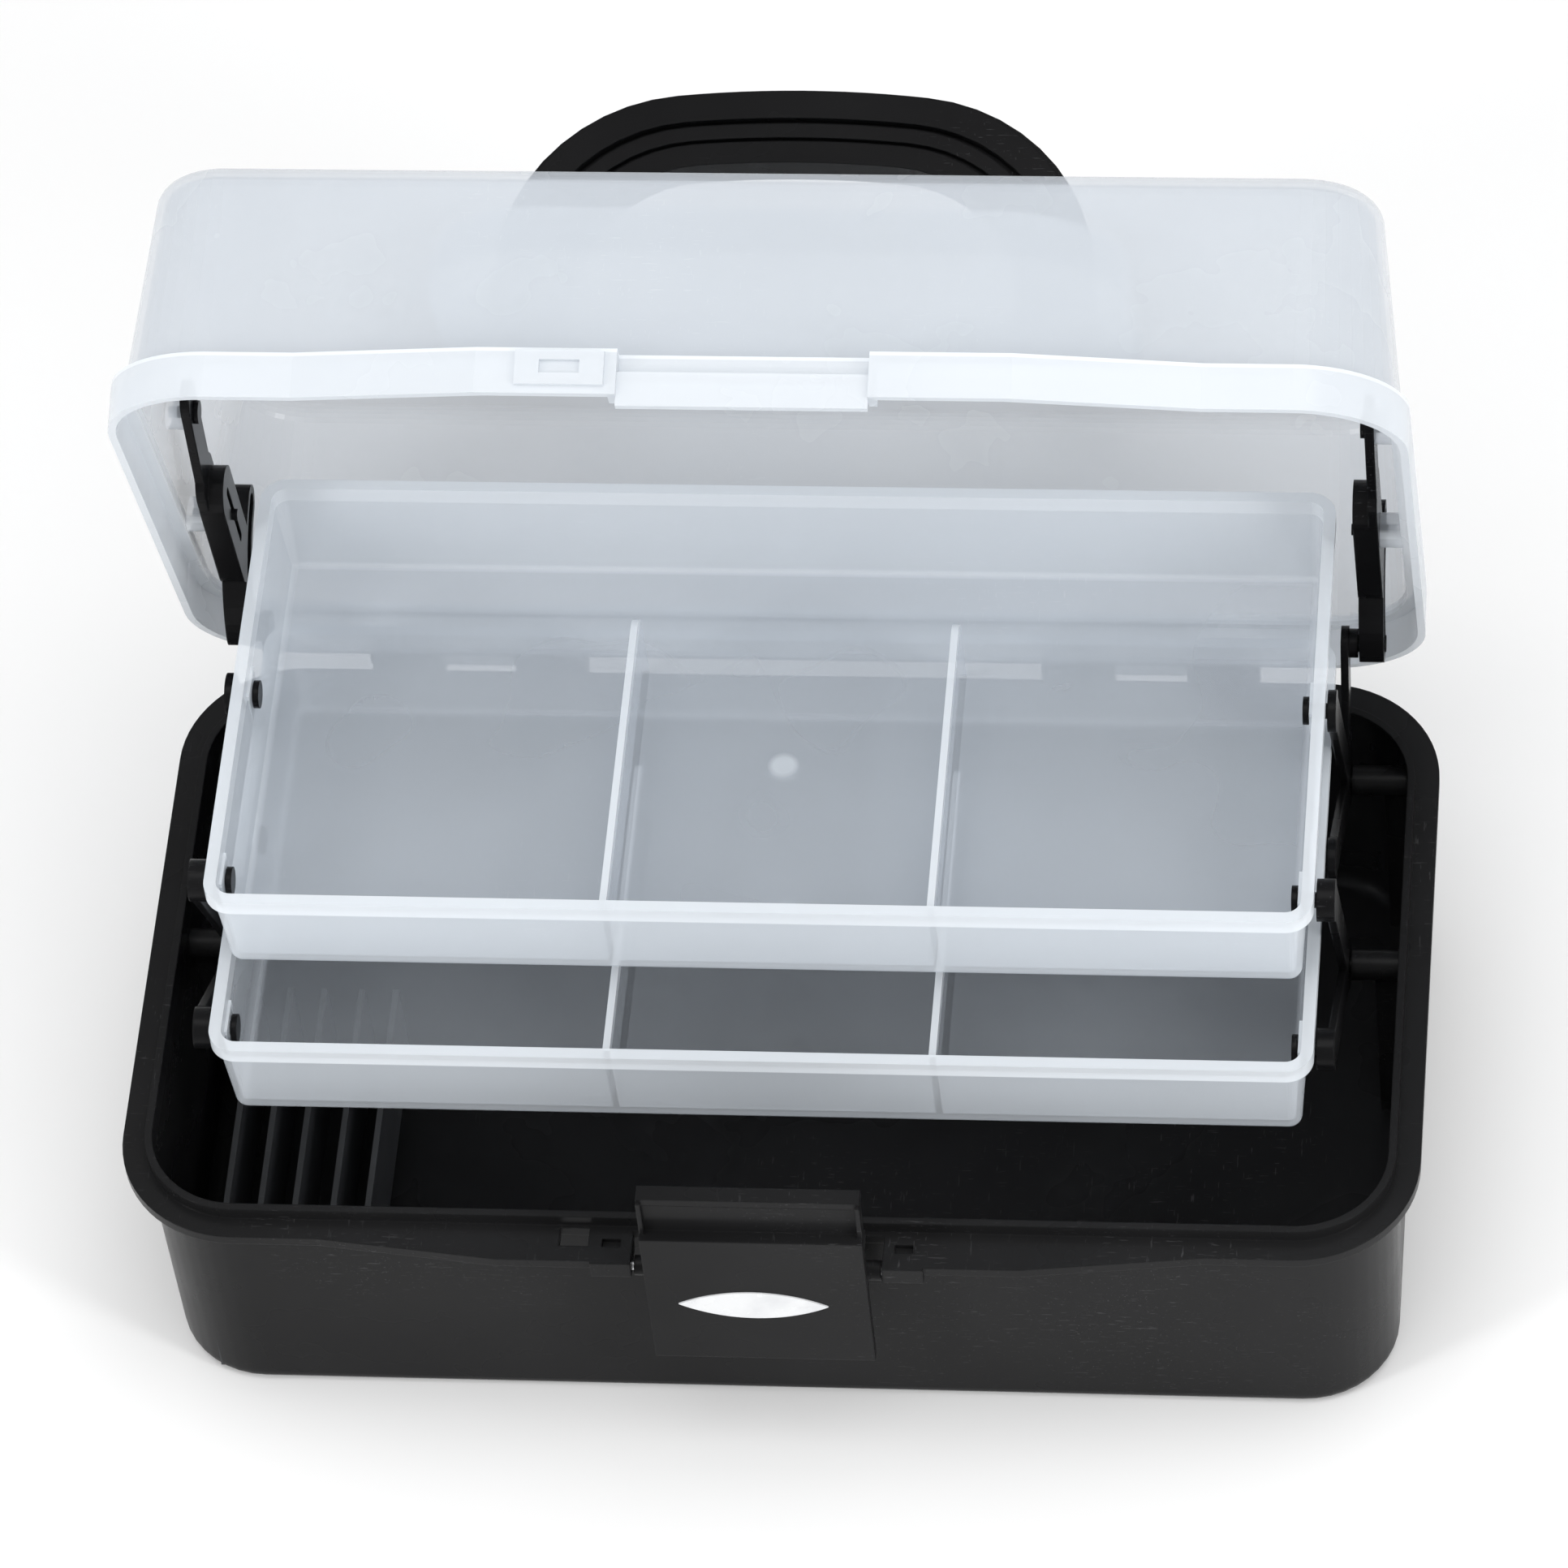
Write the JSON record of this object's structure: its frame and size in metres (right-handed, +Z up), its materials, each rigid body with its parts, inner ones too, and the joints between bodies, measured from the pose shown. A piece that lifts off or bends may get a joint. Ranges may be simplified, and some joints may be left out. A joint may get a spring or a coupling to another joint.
{
  "type": "fishing tackle box",
  "caption": "Black cantilever tackle box, open: clear hinged lid with folding handle, front latch and clear trays on linked side plates.",
  "frame": {"origin": "middle of the tub's underside, on the surface it stands on", "axes": "+X to the right, +Y to the rear where the lid hinges, +Z up"},
  "size_m": [0.33, 0.2816, 0.2638],
  "materials": {
    "tub_black": "satin",
    "black_plastic": "satin",
    "divider_grey": "satin",
    "clear_lid": "frosted, translucent",
    "clear_tray": "frosted, translucent",
    "pin_steel": "bright",
    "badge_white": "gloss"
  },
  "bodies": {
    "tub": {"base_tub": "tub_black", "floor_dividers": "divider_grey", "link_pivot_pins": "black_plastic", "hinge_pin_left": "pin_steel", "hinge_pin_right": "pin_steel", "latch_pin": "pin_steel"},
    "lid": {"lid_shell": "clear_lid", "lid_arm_left": "black_plastic", "lid_arm_right": "black_plastic", "lid_arm_rivets": "black_plastic", "handle_pins": "pin_steel"},
    "handle": {"handle": "black_plastic"},
    "latch": {"latch": "tub_black", "latch_badge": "badge_white"},
    "front_links": {"front_link_left": "black_plastic", "front_link_right": "black_plastic", "front_studs": "black_plastic"},
    "rear_links": {"rear_link_left": "black_plastic", "rear_link_right": "black_plastic", "rear_studs": "black_plastic"},
    "upper_tray": {"upper_tray": "clear_tray"},
    "lower_tray": {"lower_tray": "clear_tray"}
  },
  "joints": [
    {"name": "lid_hinge", "type": "hinge", "parent": "tub", "child": "lid", "pos_m": [0, 0.095, 0.079], "axis": [-1, 0, 0], "range_deg": [-72, 0]},
    {"name": "handle_hinge", "type": "hinge", "parent": "lid", "child": "handle", "pos_m": [0, 0.11983, 0.1838], "axis": [1, 0, 0], "range_deg": [0, 90]},
    {"name": "latch_hinge", "type": "hinge", "parent": "tub", "child": "latch", "pos_m": [0, -0.094, 0.0685], "axis": [1, 0, 0], "range_deg": [-10, 12]},
    {"name": "rear_link_hinge", "type": "hinge", "parent": "tub", "child": "rear_links", "pos_m": [0, 0.068, 0.064], "axis": [-1, 0, 0], "range_deg": [-43.2, 0]},
    {"name": "front_link_hinge", "type": "hinge", "parent": "tub", "child": "front_links", "pos_m": [0, 0.008, 0.064], "axis": [-1, 0, 0], "range_deg": [-43.2, 0]},
    {"name": "upper_tray_pivot", "type": "hinge", "parent": "rear_links", "child": "upper_tray", "pos_m": [0, 0.0337, 0.136], "axis": [-1, 0, 0], "range_deg": [0, 43.2]},
    {"name": "lower_tray_pivot", "type": "hinge", "parent": "rear_links", "child": "lower_tray", "pos_m": [0, 0.0114, 0.104], "axis": [-1, 0, 0], "range_deg": [0, 43.2]}
  ],
  "couplings": [
    {"joint": "rear_link_hinge", "follows": "lid_hinge", "ratio": 0.6},
    {"joint": "front_link_hinge", "follows": "lid_hinge", "ratio": 0.6},
    {"joint": "upper_tray_pivot", "follows": "lid_hinge", "ratio": -0.6},
    {"joint": "lower_tray_pivot", "follows": "lid_hinge", "ratio": -0.6}
  ]
}
